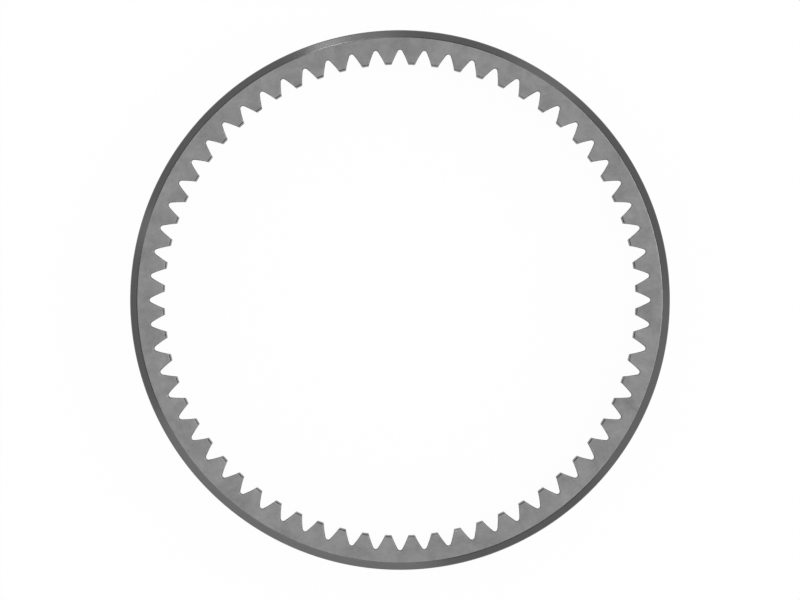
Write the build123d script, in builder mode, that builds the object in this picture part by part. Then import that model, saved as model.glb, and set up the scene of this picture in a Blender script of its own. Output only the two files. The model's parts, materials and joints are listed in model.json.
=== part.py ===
from build123d import *
import os
from math import acos, cos, pi, radians, sin, sqrt, tan

# Internal ring gear, in millimetres: a plain turned steel ring with straight involute
# teeth cut into its bore. It lies flat. The axis is +Z, the origin is the centre of the
# lower face, and one tooth space is centred on +X.

# Driving dimensions of the teeth
TEETH = 64
MODULE = 4.0
PRESSURE_ANGLE = 25.0        # degrees
ADDENDUM_FACTOR = 0.79       # pitch circle in to the tooth tips, in modules
DEDENDUM_FACTOR = 1.175      # pitch circle out to the bottom of the spaces, in modules
BACKLASH = 0.05              # tooth space beyond half a pitch, along the pitch circle

# Driving dimensions of the turned blank
RIM_WALL = 9.8               # solid ring outside the tooth spaces
FACE_WIDTH = 40.0            # length along the axis
RIM_BEVEL = 3.9              # 45 degrees, on both outside edges
BORE_BEVEL = 0.6             # 45 degrees, on both bore edges, left on the tips of the teeth

# Driving dimensions of the cutter
CUTTER_OVERRUN = 2.0         # past both faces
CUTTER_ENTRY = 1.0           # into the bore, past the tips of the teeth
FLANK_POINTS = 6             # points that carry the curve of one flank


def involute(angle):
    """Involute function of a pressure angle, both in radians."""
    return tan(angle) - angle


# Circles of the gear, as radii
pitch_radius = MODULE * TEETH / 2
base_radius = pitch_radius * cos(radians(PRESSURE_ANGLE))
tip_radius = pitch_radius - ADDENDUM_FACTOR * MODULE
root_radius = pitch_radius + DEDENDUM_FACTOR * MODULE
outside_radius = root_radius + RIM_WALL

# Half the angle of a tooth space at the pitch circle, then at the base circle, in radians
half_space = (pi * MODULE / 2 + BACKLASH) / (2 * pitch_radius)
base_half_space = half_space + involute(radians(PRESSURE_ANGLE))


def flank_angle(radius):
    """Half the angle of a tooth space where its flank is at this radius."""
    return base_half_space - involute(acos(base_radius / radius))


def flank_point(radius, side=1):
    """Point at this radius on the flank above +X, or below it where side is -1."""
    angle = flank_angle(radius)
    return (radius * cos(angle), side * radius * sin(angle))


def flank_direction(radius):
    """Direction of the flank above +X as it runs in towards the bore."""
    angle = flank_angle(radius) - acos(base_radius / radius)
    return (-cos(angle), -sin(angle))


def find_root_arc():
    """Radius of the one arc that touches the root circle and both flanks of a space."""
    smallest = 0.0
    largest = root_radius - base_radius
    for _ in range(60):
        radius = (smallest + largest) / 2
        room = base_half_space - radius / base_radius
        if room > involute(acos(base_radius / (root_radius - radius))):
            smallest = radius
        else:
            largest = radius
    return radius


# The flank starts where the root arc meets it
root_arc = find_root_arc()
arc_centre_roll = sqrt((root_radius - root_arc) ** 2 - base_radius**2)
flank_start = sqrt(base_radius**2 + (arc_centre_roll + root_arc) ** 2)

# It ends inside the bore, or at the base circle where that is larger
flank_end = max(tip_radius - CUTTER_ENTRY, base_radius)
flank_step = (flank_end - flank_start) / (FLANK_POINTS - 1)
flank_radii = [flank_start + flank_step * index for index in range(FLANK_POINTS)]

# From there the cutter goes straight in towards the axis, and closes across the bore
mouth_radius = tip_radius - 2 * CUTTER_ENTRY
mouth_x = mouth_radius * cos(flank_angle(flank_end))
mouth_y = mouth_radius * sin(flank_angle(flank_end))

# Outline of one tooth space: two involute flanks, the root arc and the mouth
with BuildSketch() as tooth_space:
    with BuildLine():
        flank = Spline(
            [flank_point(radius) for radius in flank_radii],
            tangents=[flank_direction(flank_start), flank_direction(flank_end)],
        )
        Line(flank @ 1, (mouth_x, mouth_y))
        mirror(about=Plane.XZ)
        ThreePointArc(flank @ 0, (root_radius, 0), flank_point(flank_start, side=-1))
        Line((mouth_x, mouth_y), (mouth_x, -mouth_y))
    make_face()

# The ring: a turned blank with its four bevels, then one space for each tooth
with BuildPart() as ring_gear:
    with BuildSketch():
        Circle(outside_radius)
        Circle(tip_radius, mode=Mode.SUBTRACT)
    extrude(amount=FACE_WIDTH)
    rims = ring_gear.edges().filter_by(GeomType.CIRCLE).group_by(SortBy.RADIUS)
    chamfer(rims[-1], RIM_BEVEL)
    chamfer(rims[0], BORE_BEVEL)
    with BuildSketch(Plane.XY.offset(-CUTTER_OVERRUN)):
        with PolarLocations(0, TEETH):
            add(tooth_space.sketch)
    extrude(amount=FACE_WIDTH + 2 * CUTTER_OVERRUN, mode=Mode.SUBTRACT)

ring_gear.part.label = "ring_gear"
os.makedirs("parts", exist_ok=True)
export_step(ring_gear.part, "parts/ring_gear.step")
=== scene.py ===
import json
from math import acos, atan2, cos, hypot, pi, radians, sin, sqrt, tan

import bmesh
import bpy
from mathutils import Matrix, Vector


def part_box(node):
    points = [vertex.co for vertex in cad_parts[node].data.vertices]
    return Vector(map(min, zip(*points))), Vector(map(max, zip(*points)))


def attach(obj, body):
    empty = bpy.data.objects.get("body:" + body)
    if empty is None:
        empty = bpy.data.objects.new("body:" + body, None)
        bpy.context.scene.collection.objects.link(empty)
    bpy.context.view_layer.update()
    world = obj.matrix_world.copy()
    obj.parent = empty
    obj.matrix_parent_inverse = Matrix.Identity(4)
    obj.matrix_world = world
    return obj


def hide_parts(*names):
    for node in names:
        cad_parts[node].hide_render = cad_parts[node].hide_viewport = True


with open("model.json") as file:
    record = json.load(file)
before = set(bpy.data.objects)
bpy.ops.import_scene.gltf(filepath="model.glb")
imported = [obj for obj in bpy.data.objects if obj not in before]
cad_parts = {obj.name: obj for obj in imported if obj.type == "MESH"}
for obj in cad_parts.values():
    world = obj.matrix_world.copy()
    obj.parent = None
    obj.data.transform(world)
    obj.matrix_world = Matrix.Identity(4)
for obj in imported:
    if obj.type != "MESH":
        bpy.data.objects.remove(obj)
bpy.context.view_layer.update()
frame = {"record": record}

# ---------------------------------------------------------------------------
# Sizes, in metres. The ring's outside comes from the frame, the teeth repeat the part's.
# ---------------------------------------------------------------------------

TEETH = 64
MODULE = 0.004
PRESSURE_ANGLE = radians(25)
TIP_RADIUS = 0.12484
ROOT_RADIUS = 0.1327
BACKLASH = 0.00005
BORE_BEVEL = 0.0006

low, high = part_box("ring_gear")
OUTSIDE_RADIUS = (high.x - low.x) / 2
LOWER_FACE = low.z
UPPER_FACE = high.z
FACE_WIDTH = UPPER_FACE - LOWER_FACE
MIDDLE = (LOWER_FACE + UPPER_FACE) / 2

rim_fit = next(m for m in frame["record"]["mounts"] if m["name"] == "outside_diameter")
RIM_BEVEL = (FACE_WIDTH - rim_fit["dims"]["length_mm"] / 1000) / 2

HALF_PITCH = pi / TEETH
PITCH_RADIUS = MODULE * TEETH / 2
BASE_RADIUS = PITCH_RADIUS * cos(PRESSURE_ANGLE)
# Half the angle of a tooth space at the pitch circle
HALF_SPACE = (pi * MODULE / 2 + BACKLASH) / (2 * PITCH_RADIUS)

# Small roundings that deburring leaves, and the bands of wear beside them
EDGE_BREAK = 0.0001
WEAR_BAND = 0.0006
# Most of a tip bevel's slope that each of its two roundings may take
BEVEL_EDGE_SHARE = 0.3
# The middle of a tip corner's rounding: how far it lies from the corner, and its lean
CORNER_ROUNDING = 0.275
CORNER_LEAN = 0.8
# A wall's lean is 1 where it faces the axis. Its edge bands widen with a smaller lean, down to this
LEAST_LEAN = 0.4

# How finely the parts of one tooth space are divided, from its middle to the tooth's
ROOT_STEPS = 6
FLANK_STEPS = 6
TIP_STEPS = 2
# Halvings that find the root arc's radius
ROOT_HALVINGS = 60
# Points of neighbouring tooth spaces that lie this near are one point
SEAM_DISTANCE = EDGE_BREAK / 50

# Finishes of the ring, as numbers that its faces carry: the end faces and the outside wall,
# the bevels, whose darker colour is painted shade, and the tooth spaces
GROUND_FACE = 0
TURNED_RIM_PAINTED_DARK = 1
SHAPED_TEETH = 2

# How much of the tone and the roughness the marks, patches and wear change, and how quickly
# wear fades from an edge
MARK_TONE = 0.08
PATCH_ROUGHNESS = 0.16
WORN_POLISH = 0.2
WEAR_FALLOFF = 2.0
# Rings counted along the axis, as a share of those counted along the radius
AXIAL_RINGS = -0.5

# ---------------------------------------------------------------------------
# The stage, in metres, degrees and brightness
# ---------------------------------------------------------------------------

FLOOR_COLOUR = (0.95, 0.95, 0.95, 1)
FLOOR_WHITE = 0.97
FLOOR_REACH = 14.0
FLOOR_GAP = 0.0002

# Brightness of the sky overhead and at the horizon, and the height at which it is brightest
SKY_TOP = 0.95
SKY_HORIZON = 0.18
SKY_HEIGHT = 0.75

SOFTBOX_DISTANCE = 4.0
# Softboxes round the ring: heading, elevation, width and height in degrees, and brightness
SOFTBOXES = {
    "high_softbox": (12, 42, 30, 30, 2.8),
    "key_softbox": (106, 9, 7, 18, 4.8),
    "key_edge_softbox": (97, 9, 12, 18, 1.2),
    "wide_softbox": (242, 9, 74, 18, 1.0),
    "right_softbox": (57, 9, 16, 18, 0.9),
    "left_softbox": (164, 9, 8, 18, 0.9),
    "low_right_softbox": (340, 9, 44, 18, 0.5),
}

VIEW_DISTANCE = 7.0
# The ring's diameter as a share of the picture's width
RING_SHARE = 0.67475


# ---------------------------------------------------------------------------
# The line of one tooth space, seen along the axis
# ---------------------------------------------------------------------------

def involute(angle):
    """Involute function of a pressure angle."""
    return tan(angle) - angle


# The same at the base circle, where the involutes start
BASE_HALF_SPACE = HALF_SPACE + involute(PRESSURE_ANGLE)


def flank_angle(radius):
    """Half the angle of a tooth space where its flank is at this radius."""
    return BASE_HALF_SPACE - involute(acos(BASE_RADIUS / radius))


def root_arc_radius():
    """Radius of the arc that touches the root circle and both flanks of a space."""
    smallest = 0.0
    largest = ROOT_RADIUS - BASE_RADIUS
    for _ in range(ROOT_HALVINGS):
        radius = (smallest + largest) / 2
        room = BASE_HALF_SPACE - radius / BASE_RADIUS
        if room > involute(acos(BASE_RADIUS / (ROOT_RADIUS - radius))):
            smallest = radius
        else:
            largest = radius
    return radius


def root_stations(arc, flank_start):
    """Root arc from the middle of the space to the flank: radius, angle, lean and corner."""
    centre = ROOT_RADIUS - arc
    end_angle = flank_angle(flank_start)
    sweep = atan2(flank_start * sin(end_angle), flank_start * cos(end_angle) - centre)
    stations = []
    for step in range(ROOT_STEPS):
        turn = sweep * step / ROOT_STEPS
        x = centre + arc * cos(turn)
        y = arc * sin(turn)
        angle = atan2(y, x)
        stations.append((hypot(x, y), angle, cos(turn - angle), 0.0))
    return stations


def flank_stations(flank_start):
    """Flank from the root arc to just short of the tip corner."""
    tip_lean = acos(BASE_RADIUS / TIP_RADIUS)
    flank_end = TIP_RADIUS + EDGE_BREAK * cos(tip_lean)
    bevel_radius = TIP_RADIUS + BORE_BEVEL
    radii = [flank_start + (bevel_radius - flank_start) * step / FLANK_STEPS
             for step in range(FLANK_STEPS + 1)]
    radii.append((bevel_radius + flank_end) / 2)
    stations = [(r, flank_angle(r), sin(acos(BASE_RADIUS / r)), 0.0) for r in radii]
    stations.append((flank_end, flank_angle(flank_end), sin(tip_lean), 1.0))
    return stations


def tip_stations():
    """The rounded corner of the tip, and the tip as far as the middle of the tooth."""
    corner = flank_angle(TIP_RADIUS)
    before = TIP_RADIUS + EDGE_BREAK * cos(acos(BASE_RADIUS / TIP_RADIUS))
    after = corner + EDGE_BREAK / TIP_RADIUS
    mid_radius = TIP_RADIUS + (before - TIP_RADIUS) * CORNER_ROUNDING
    mid_angle = corner + (after + flank_angle(before) - 2 * corner) * CORNER_ROUNDING
    stations = [(mid_radius, mid_angle, CORNER_LEAN, 1.0), (TIP_RADIUS, after, 1.0, 1.0)]
    for step in range(1, TIP_STEPS + 1):
        angle = after + (HALF_PITCH - after) * step / TIP_STEPS
        stations.append((TIP_RADIUS, angle, 1.0, 0.0))
    return stations


def space_stations():
    """Stations across one whole tooth space, from tooth middle to tooth middle."""
    arc = root_arc_radius()
    roll = sqrt((ROOT_RADIUS - arc) ** 2 - BASE_RADIUS ** 2) + arc
    flank_start = hypot(BASE_RADIUS, roll)
    half = root_stations(arc, flank_start) + flank_stations(flank_start) + tip_stations()
    other = [(radius, -angle, lean, corner) for radius, angle, lean, corner in half[1:]]
    return other[::-1] + half


# ---------------------------------------------------------------------------
# The section of the ring at one station: places (radius, depth below the end face),
# each with its wear and the finish of the band that follows it
# ---------------------------------------------------------------------------

def along(start, end, distance):
    """The place at this distance from start towards end."""
    share = distance / hypot(end[0] - start[0], end[1] - start[1])
    return (start[0] + (end[0] - start[0]) * share, start[1] + (end[1] - start[1]) * share)


def half_section(bore_radius, lean, corner):
    """One end's half of the section, from the bore over the end face to the outside."""
    bevel = TIP_RADIUS + BORE_BEVEL - bore_radius
    wall_end = (bore_radius, max(bevel, EDGE_BREAK))
    widening = 1 / max(lean, LEAST_LEAN)
    face_start = (bore_radius + max(bevel, EDGE_BREAK * widening), 0.0)
    slope = hypot(face_start[0] - wall_end[0], wall_end[1])
    small = min(EDGE_BREAK, BEVEL_EDGE_SHARE * slope)
    # Bevels take the rim material, whose darker colour is painted shade
    bevel_finish_and_painted_shade = TURNED_RIM_PAINTED_DARK if bevel > EDGE_BREAK else SHAPED_TEETH
    face_end = (OUTSIDE_RADIUS - RIM_BEVEL, 0.0)
    rim_start = (OUTSIDE_RADIUS, RIM_BEVEL)
    face_band = small + WEAR_BAND * widening
    rim_band = EDGE_BREAK + WEAR_BAND
    return [
        ((bore_radius, wall_end[1] + small + WEAR_BAND), corner, SHAPED_TEETH),
        ((bore_radius, wall_end[1] + small), 1.0, SHAPED_TEETH),
        (along(wall_end, face_start, small), 1.0, bevel_finish_and_painted_shade),
        (along(face_start, wall_end, small), 1.0, GROUND_FACE),
        ((face_start[0] + small, 0.0), 1.0, GROUND_FACE),
        ((face_start[0] + face_band, 0.0), 0.0, GROUND_FACE),
        ((face_end[0] - rim_band, 0.0), 0.0, GROUND_FACE),
        # Painted shade: the rounding at the face's outer edge takes the bevels' darker colour
        ((face_end[0] - EDGE_BREAK, 0.0), 1.0, TURNED_RIM_PAINTED_DARK),
        (along(face_end, rim_start, EDGE_BREAK), 1.0, TURNED_RIM_PAINTED_DARK),
        (along(face_end, rim_start, rim_band), 0.0, TURNED_RIM_PAINTED_DARK),
        (along(rim_start, face_end, rim_band), 0.0, TURNED_RIM_PAINTED_DARK),
        (along(rim_start, face_end, EDGE_BREAK), 1.0, GROUND_FACE),
        ((OUTSIDE_RADIUS, RIM_BEVEL + EDGE_BREAK), 1.0, GROUND_FACE),
        ((OUTSIDE_RADIUS, RIM_BEVEL + rim_band), 0.0, GROUND_FACE),
    ]


def whole_section(bore_radius, lean, corner):
    """Closed section, as (radius, height, wear, finish of the band that follows)."""
    places = half_section(bore_radius, lean, corner)
    finishes = [finish for _, _, finish in places]
    lower_finishes = finishes[-2::-1] + [SHAPED_TEETH]
    upper = [(r, UPPER_FACE - d, wear, finish) for (r, d), wear, finish in places]
    lower = [(r, LOWER_FACE + d, wear, finish)
             for ((r, d), wear, _), finish in zip(places[::-1], lower_finishes)]
    return upper + lower


def tooth_space_mesh():
    """The slice of the ring that holds one tooth space, with its wear and finishes."""
    mesh = bpy.data.meshes.new("tooth_space")
    shape = bmesh.new()
    wear = shape.verts.layers.float.new("edge_wear")
    finish = shape.faces.layers.int.new("finish")
    slices = []
    for bore_radius, angle, lean, corner in space_stations():
        section = whole_section(bore_radius, lean, corner)
        row = []
        for radius, height, worn, _ in section:
            vertex = shape.verts.new((radius * cos(angle), radius * sin(angle), height))
            vertex[wear] = worn
            row.append(vertex)
        slices.append((row, [band for _, _, _, band in section]))
    for (row, bands), (next_row, next_bands) in zip(slices, slices[1:]):
        for place in range(len(row)):
            following = (place + 1) % len(row)
            face = shape.faces.new(
                (row[place], row[following], next_row[following], next_row[place]))
            face[finish] = max(bands[place], next_bands[place])
            face.smooth = True
    shape.to_mesh(mesh)
    shape.free()
    return mesh


# ---------------------------------------------------------------------------
# Node helpers
# ---------------------------------------------------------------------------

def add_node(tree, kind, values=None, **settings):
    """A node with its settings and its input values, where a value may be a socket."""
    node = tree.nodes.new(kind)
    for name, value in settings.items():
        setattr(node, name, value)
    for key, value in (values or {}).items():
        if isinstance(value, bpy.types.NodeSocket):
            tree.links.new(value, node.inputs[key])
        else:
            node.inputs[key].default_value = value
    return node


def maths(tree, operation, *values):
    """The output of a Math node."""
    node = add_node(tree, "ShaderNodeMath", dict(enumerate(values)), operation=operation)
    return node.outputs[0]


# ---------------------------------------------------------------------------
# The ring: one tooth space, repeated round the axis
# ---------------------------------------------------------------------------

def space_repeater():
    """Geometry Nodes tree that sets tooth spaces round the axis and joins them up."""
    tree = bpy.data.node_groups.new("spaces_round_axis", "GeometryNodeTree")
    face = tree.interface
    face.new_socket("Tooth Space", in_out="INPUT", socket_type="NodeSocketGeometry")
    face.new_socket("Teeth", in_out="INPUT", socket_type="NodeSocketInt")
    face.new_socket("Seam Distance", in_out="INPUT", socket_type="NodeSocketFloat")
    face.new_socket("Face Finish", in_out="INPUT", socket_type="NodeSocketMaterial")
    face.new_socket("Rim Finish And Painted Shade", in_out="INPUT", socket_type="NodeSocketMaterial")
    face.new_socket("Tooth Finish", in_out="INPUT", socket_type="NodeSocketMaterial")
    face.new_socket("Ring", in_out="OUTPUT", socket_type="NodeSocketGeometry")
    given = tree.nodes.new("NodeGroupInput").outputs
    index = tree.nodes.new("GeometryNodeInputIndex").outputs[0]
    step = maths(tree, "DIVIDE", 2 * pi, given["Teeth"])
    turn = add_node(tree, "FunctionNodeAxisAngleToRotation",
                    {"Axis": (0, 0, 1), "Angle": maths(tree, "MULTIPLY", index, step)})
    points = add_node(tree, "GeometryNodePoints", {"Count": given["Teeth"]})
    copies = add_node(tree, "GeometryNodeInstanceOnPoints",
                      {"Points": points.outputs[0], "Instance": given["Tooth Space"],
                       "Rotation": turn.outputs[0]})
    realised = add_node(tree, "GeometryNodeRealizeInstances", {"Geometry": copies.outputs[0]})
    joined = add_node(tree, "GeometryNodeMergeByDistance",
                      {"Geometry": realised.outputs[0], "Distance": given["Seam Distance"]})
    ring = joined.outputs[0]
    finish = add_node(tree, "GeometryNodeInputNamedAttribute", {"Name": "finish"},
                      data_type="INT").outputs[0]
    # The rim material's darker colour is painted shade
    finishes = ("Face Finish", GROUND_FACE), ("Rim Finish And Painted Shade", TURNED_RIM_PAINTED_DARK), ("Tooth Finish", SHAPED_TEETH)
    for name, number in finishes:
        chosen = add_node(tree, "FunctionNodeCompare", data_type="INT", operation="EQUAL")
        tree.links.new(finish, chosen.inputs[2])
        chosen.inputs[3].default_value = number
        ring = add_node(tree, "GeometryNodeSetMaterial",
                        {"Geometry": ring, "Selection": chosen.outputs[0],
                         "Material": given[name]}).outputs[0]
    result = tree.nodes.new("NodeGroupOutput")
    tree.links.new(ring, result.inputs["Ring"])
    return tree


def set_inputs(modifier, values):
    """Sets a Geometry Nodes modifier's inputs, found by name and set by identifier."""
    for item in modifier.node_group.interface.items_tree:
        if item.item_type == "SOCKET" and item.name in values:
            modifier[item.identifier] = values[item.name]


def make_ring(face_finish, rim_finish_and_painted_shade, tooth_finish):
    """The whole gear as one plain closed mesh."""
    seed = bpy.data.objects.new("tooth_space", tooth_space_mesh())
    bpy.context.scene.collection.objects.link(seed)
    repeat = seed.modifiers.new("spaces_round_axis", "NODES")
    repeat.node_group = space_repeater()
    set_inputs(repeat, {"Teeth": TEETH, "Seam Distance": SEAM_DISTANCE,
                        "Face Finish": face_finish, "Rim Finish And Painted Shade": rim_finish_and_painted_shade,
                        "Tooth Finish": tooth_finish})
    seed.modifiers.new("flat_faces_lead", "WEIGHTED_NORMAL")
    evaluated = seed.evaluated_get(bpy.context.evaluated_depsgraph_get())
    mesh = bpy.data.meshes.new_from_object(evaluated)
    mesh.name = "machined_ring"
    bpy.data.objects.remove(seed)
    ring = bpy.data.objects.new("machined_ring", mesh)
    bpy.context.scene.collection.objects.link(ring)
    return ring


# ---------------------------------------------------------------------------
# Effects that the finishes share
# ---------------------------------------------------------------------------

def new_effect(name, inputs, outputs):
    """An empty shader node group with its sockets, and its input and output nodes."""
    tree = bpy.data.node_groups.new(name, "ShaderNodeTree")
    for socket, kind in inputs:
        tree.interface.new_socket(socket, in_out="INPUT", socket_type=kind)
    for socket, kind in outputs:
        tree.interface.new_socket(socket, in_out="OUTPUT", socket_type=kind)
    return tree, tree.nodes.new("NodeGroupInput").outputs, tree.nodes.new("NodeGroupOutput")


def cloudy_steel_effect():
    """Soft patches, large and small, as a tone round 1 and a value from 0 to 1."""
    tree, given, result = new_effect(
        "cloudy_steel",
        [("Position", "NodeSocketVector"), ("Patch Size", "NodeSocketFloat"),
         ("Contrast", "NodeSocketFloat")],
        [("Tone", "NodeSocketFloat"), ("Patches", "NodeSocketFloat")])
    scale = maths(tree, "DIVIDE", 1.0, given["Patch Size"])
    noise = add_node(tree, "ShaderNodeTexNoise",
                     {"Vector": given["Position"], "Scale": scale, "Detail": 6.0,
                      "Roughness": 0.82, "Distortion": 0.3})
    patches = noise.outputs["Fac"]
    centred = maths(tree, "SUBTRACT", patches, 0.5)
    tone = maths(tree, "MULTIPLY_ADD", centred, given["Contrast"], 1.0)
    tree.links.new(tone, result.inputs["Tone"])
    tree.links.new(patches, result.inputs["Patches"])
    return tree


def turning_marks_effect():
    """Fine rings left by a turning tool, on faces, bevels and outside wall alike."""
    tree, given, result = new_effect(
        "turning_marks",
        [("Position", "NodeSocketVector"), ("Feed", "NodeSocketFloat")],
        [("Height", "NodeSocketFloat")])
    place = add_node(tree, "ShaderNodeSeparateXYZ", {"Vector": given["Position"]}).outputs
    flat = add_node(tree, "ShaderNodeCombineXYZ", {"X": place["X"], "Y": place["Y"]}).outputs[0]
    radius = add_node(tree, "ShaderNodeVectorMath", {0: flat}, operation="LENGTH").outputs["Value"]
    heading = add_node(tree, "ShaderNodeVectorMath", {0: flat}, operation="NORMALIZE").outputs[0]
    from_middle = maths(tree, "ABSOLUTE", maths(tree, "SUBTRACT", place["Z"], MIDDLE))
    travel = maths(tree, "MULTIPLY_ADD", from_middle, AXIAL_RINGS, radius)
    ring = maths(tree, "DIVIDE", travel, given["Feed"])
    way = add_node(tree, "ShaderNodeSeparateXYZ", {"Vector": heading}).outputs
    spun = add_node(tree, "ShaderNodeCombineXYZ", {"X": ring, "Y": way["X"], "Z": way["Y"]})
    noise = add_node(tree, "ShaderNodeTexNoise",
                     {"Vector": spun.outputs[0], "Scale": 1.0, "Detail": 2.0, "Roughness": 0.6})
    tree.links.new(noise.outputs["Fac"], result.inputs["Height"])
    return tree


def shaping_marks_effect():
    """Fine lines along the teeth, left by the strokes of the shaping cutter."""
    tree, given, result = new_effect(
        "shaping_marks",
        [("Position", "NodeSocketVector"), ("Spacing", "NodeSocketFloat"),
         ("Length", "NodeSocketFloat")],
        [("Height", "NodeSocketFloat")])
    across = maths(tree, "DIVIDE", 1.0, given["Spacing"])
    down = maths(tree, "DIVIDE", 1.0, given["Length"])
    stretch = add_node(tree, "ShaderNodeCombineXYZ", {"X": across, "Y": across, "Z": down})
    drawn = add_node(tree, "ShaderNodeVectorMath",
                     {0: given["Position"], 1: stretch.outputs[0]}, operation="MULTIPLY")
    noise = add_node(tree, "ShaderNodeTexNoise",
                     {"Vector": drawn.outputs[0], "Scale": 1.0, "Detail": 3.0, "Roughness": 0.6})
    tree.links.new(noise.outputs["Fac"], result.inputs["Height"])
    return tree


def edge_wear_effect():
    """Rubbed edges, broken up by small patches, as a mask."""
    tree, given, result = new_effect(
        "edge_wear",
        [("Position", "NodeSocketVector"), ("Edge", "NodeSocketFloat"),
         ("Amount", "NodeSocketFloat")],
        [("Mask", "NodeSocketFloat")])
    noise = add_node(tree, "ShaderNodeTexNoise",
                     {"Vector": given["Position"], "Scale": 350.0, "Detail": 3.0})
    broken = add_node(tree, "ShaderNodeMapRange",
                      {"Value": noise.outputs["Fac"], "From Min": 0.35, "From Max": 0.65})
    sharp = maths(tree, "POWER", given["Edge"], WEAR_FALLOFF)
    rubbed = maths(tree, "MULTIPLY", sharp, broken.outputs[0])
    mask = maths(tree, "MULTIPLY", rubbed, given["Amount"])
    tree.links.new(mask, result.inputs["Mask"])
    return tree


CLOUDS = cloudy_steel_effect()
TURNING = turning_marks_effect()
SHAPING = shaping_marks_effect()
WEAR = edge_wear_effect()


def place_effect(tree, effect, values):
    """An effect's group node in a material, and its outputs."""
    return add_node(tree, "ShaderNodeGroup", values, node_tree=effect).outputs


# ---------------------------------------------------------------------------
# Finishes
# ---------------------------------------------------------------------------

def steel(name, colour, roughness, patch_size, contrast, marks, mark_depth, wear):
    """Bare steel whose colour and gloss vary with patches, tool marks and wear."""
    material = bpy.data.materials.new(name)
    material.use_nodes = True
    tree = material.node_tree
    shader = tree.nodes["Principled BSDF"]
    shader.inputs["Metallic"].default_value = 1.0
    position = tree.nodes.new("ShaderNodeTexCoord").outputs["Object"]
    edge = add_node(tree, "ShaderNodeAttribute", attribute_name="edge_wear").outputs["Fac"]
    clouds = place_effect(tree, CLOUDS, {"Position": position, "Patch Size": patch_size,
                                         "Contrast": contrast})
    effect, sizes = marks
    height = place_effect(tree, effect, {"Position": position, **sizes})["Height"]
    worn = place_effect(tree, WEAR, {"Position": position, "Edge": edge, "Amount": wear})["Mask"]
    mark_tone = maths(tree, "MULTIPLY_ADD", height, MARK_TONE, 1 - MARK_TONE / 2)
    tone = maths(tree, "MULTIPLY", clouds["Tone"], mark_tone)
    tone = maths(tree, "MULTIPLY", tone, maths(tree, "ADD", worn, 1.0))
    colour_node = add_node(tree, "ShaderNodeVectorMath", {0: colour}, operation="SCALE")
    tree.links.new(tone, colour_node.inputs["Scale"])
    tree.links.new(colour_node.outputs[0], shader.inputs["Base Color"])
    smoothest = roughness - PATCH_ROUGHNESS / 2
    uneven = maths(tree, "MULTIPLY_ADD", clouds["Patches"], PATCH_ROUGHNESS, smoothest)
    rubbed = maths(tree, "MULTIPLY_ADD", worn, -WORN_POLISH, uneven)
    tree.links.new(rubbed, shader.inputs["Roughness"])
    bump = add_node(tree, "ShaderNodeBump",
                    {"Strength": 1.0, "Distance": mark_depth, "Height": height})
    tree.links.new(bump.outputs[0], shader.inputs["Normal"])
    return material


def ground_face_steel():
    """End faces and outside wall: dull mid grey with soft clouding and the faintest rings."""
    return steel("ground_face_steel", colour=(0.261, 0.261, 0.261), roughness=0.38,
                 patch_size=0.020, contrast=1.2, marks=(TURNING, {"Feed": 0.0005}),
                 mark_depth=0.000002, wear=0.25)


def turned_rim_painted_shade_steel():
    """Bevels of the rim and the tooth tips: smoother, as the turning tool left them, and darker by
    painted shade.
    """
    # Painted shade: this colour is kept darker than the faces' to stand in for the shade on the bevels
    return steel("turned_rim_painted_shade_steel", colour=(0.137, 0.137, 0.137), roughness=0.20,
                 patch_size=0.030, contrast=0.30, marks=(TURNING, {"Feed": 0.0004}),
                 mark_depth=0.000003, wear=0.1)


def shaped_tooth_steel():
    """Tooth spaces: cut after turning, with lines along the teeth."""
    return steel("shaped_tooth_steel", colour=(0.225, 0.225, 0.225), roughness=0.60,
                 patch_size=0.012, contrast=0.40,
                 marks=(SHAPING, {"Spacing": 0.00025, "Length": 0.020}),
                 mark_depth=0.000004, wear=0.4)


# ---------------------------------------------------------------------------
# Stage: floor, sky, lamps and camera
# ---------------------------------------------------------------------------

def floor_material():
    """Pale floor that the camera, metal and glass see as white, with the ring's shadow."""
    material = bpy.data.materials.new("pale_floor")
    material.use_nodes = True
    tree = material.node_tree
    shader = tree.nodes["Principled BSDF"]
    shader.inputs["Base Color"].default_value = FLOOR_COLOUR
    shader.inputs["Roughness"].default_value = 1.0
    shader.inputs["Specular IOR Level"].default_value = 0.0
    ray = tree.nodes.new("ShaderNodeLightPath").outputs
    seen = maths(tree, "MAXIMUM", ray["Is Camera Ray"], ray["Is Glossy Ray"])
    seen = maths(tree, "MAXIMUM", seen, ray["Is Transmission Ray"])
    share = maths(tree, "MULTIPLY", seen, FLOOR_WHITE)
    white = add_node(tree, "ShaderNodeEmission", {"Color": (1, 1, 1, 1), "Strength": 1.0})
    mix = add_node(tree, "ShaderNodeMixShader",
                   {0: share, 1: shader.outputs[0], 2: white.outputs[0]})
    tree.links.new(mix.outputs[0], tree.nodes["Material Output"].inputs["Surface"])
    material.cycles.emission_sampling = "NONE"
    return material


def make_floor():
    """A wide flat floor just under the ring."""
    mesh = bpy.data.meshes.new("floor")
    corners = [(x * FLOOR_REACH, y * FLOOR_REACH, LOWER_FACE - FLOOR_GAP)
               for x, y in ((-1, -1), (1, -1), (1, 1), (-1, 1))]
    mesh.from_pydata(corners, [], [(0, 1, 2, 3)])
    mesh.materials.append(floor_material())
    floor = bpy.data.objects.new("floor", mesh)
    bpy.context.scene.collection.objects.link(floor)


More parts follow.
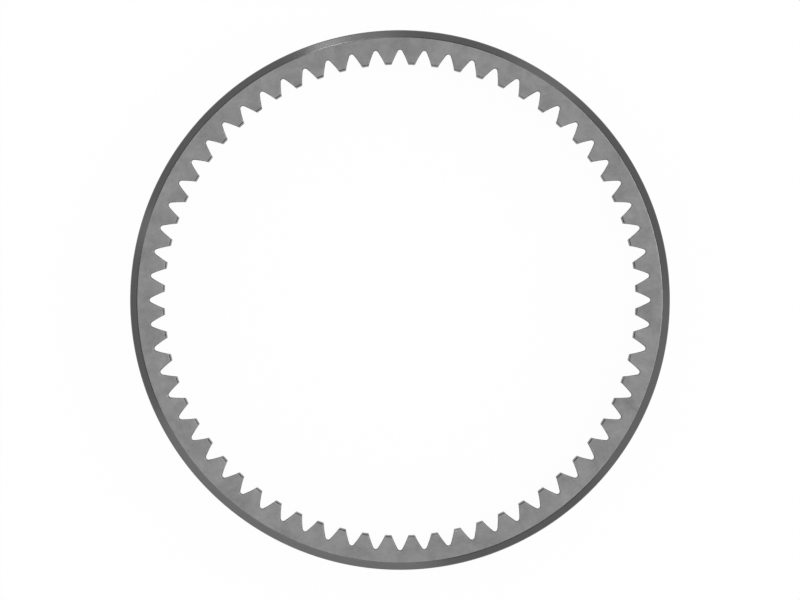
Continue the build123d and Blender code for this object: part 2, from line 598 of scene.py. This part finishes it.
def make_sky():
    """Soft light from above that fades towards the horizon."""
    world = bpy.data.worlds.new("studio")
    world.use_nodes = True
    bpy.context.scene.world = world
    tree = world.node_tree
    direction = tree.nodes.new("ShaderNodeTexCoord").outputs["Generated"]
    height = add_node(tree, "ShaderNodeSeparateXYZ", {"Vector": direction}).outputs["Z"]
    light = add_node(tree, "ShaderNodeMapRange",
                     {"Value": height, "From Min": 0.0, "From Max": SKY_HEIGHT,
                      "To Min": SKY_HORIZON, "To Max": SKY_TOP}, interpolation_type="SMOOTHSTEP")
    tree.links.new(light.outputs[0], tree.nodes["Background"].inputs["Strength"])
    tree.nodes["Background"].inputs["Color"].default_value = (1, 1, 1, 1)


def make_softbox(name, heading, elevation, width, height, brightness):
    """A soft lamp that faces the ring from a distance."""
    lamp = bpy.data.lights.new(name, "AREA")
    lamp.shape = "RECTANGLE"
    lamp.size = 2 * SOFTBOX_DISTANCE * tan(radians(width) / 2)
    lamp.size_y = 2 * SOFTBOX_DISTANCE * tan(radians(height) / 2)
    lamp.energy = brightness * pi * lamp.size * lamp.size_y
    turn = radians(heading)
    lift = radians(elevation)
    softbox = bpy.data.objects.new(name, lamp)
    softbox.location = (SOFTBOX_DISTANCE * cos(lift) * cos(turn),
                        SOFTBOX_DISTANCE * cos(lift) * sin(turn),
                        UPPER_FACE + SOFTBOX_DISTANCE * sin(lift))
    softbox.rotation_euler = (pi / 2 - lift, 0, turn + pi / 2)
    softbox.visible_camera = False
    bpy.context.scene.collection.objects.link(softbox)


def make_camera():
    """Looks straight down the axis from far away, through a long lens."""
    camera = bpy.data.cameras.new("camera")
    camera.lens = camera.sensor_width * VIEW_DISTANCE * RING_SHARE / (2 * OUTSIDE_RADIUS)
    camera.clip_end = 2 * VIEW_DISTANCE
    viewer = bpy.data.objects.new("camera", camera)
    viewer.location = (0, 0, UPPER_FACE - RIM_BEVEL + VIEW_DISTANCE)
    bpy.context.scene.collection.objects.link(viewer)
    bpy.context.scene.camera = viewer


make_camera()
make_floor()
make_sky()
for name, place in SOFTBOXES.items():
    make_softbox(name, *place)
ring = make_ring(ground_face_steel(), turned_rim_painted_shade_steel(), shaped_tooth_steel())
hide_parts("ring_gear")
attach(ring, "root")

bpy.context.scene.view_settings.view_transform = "Standard"
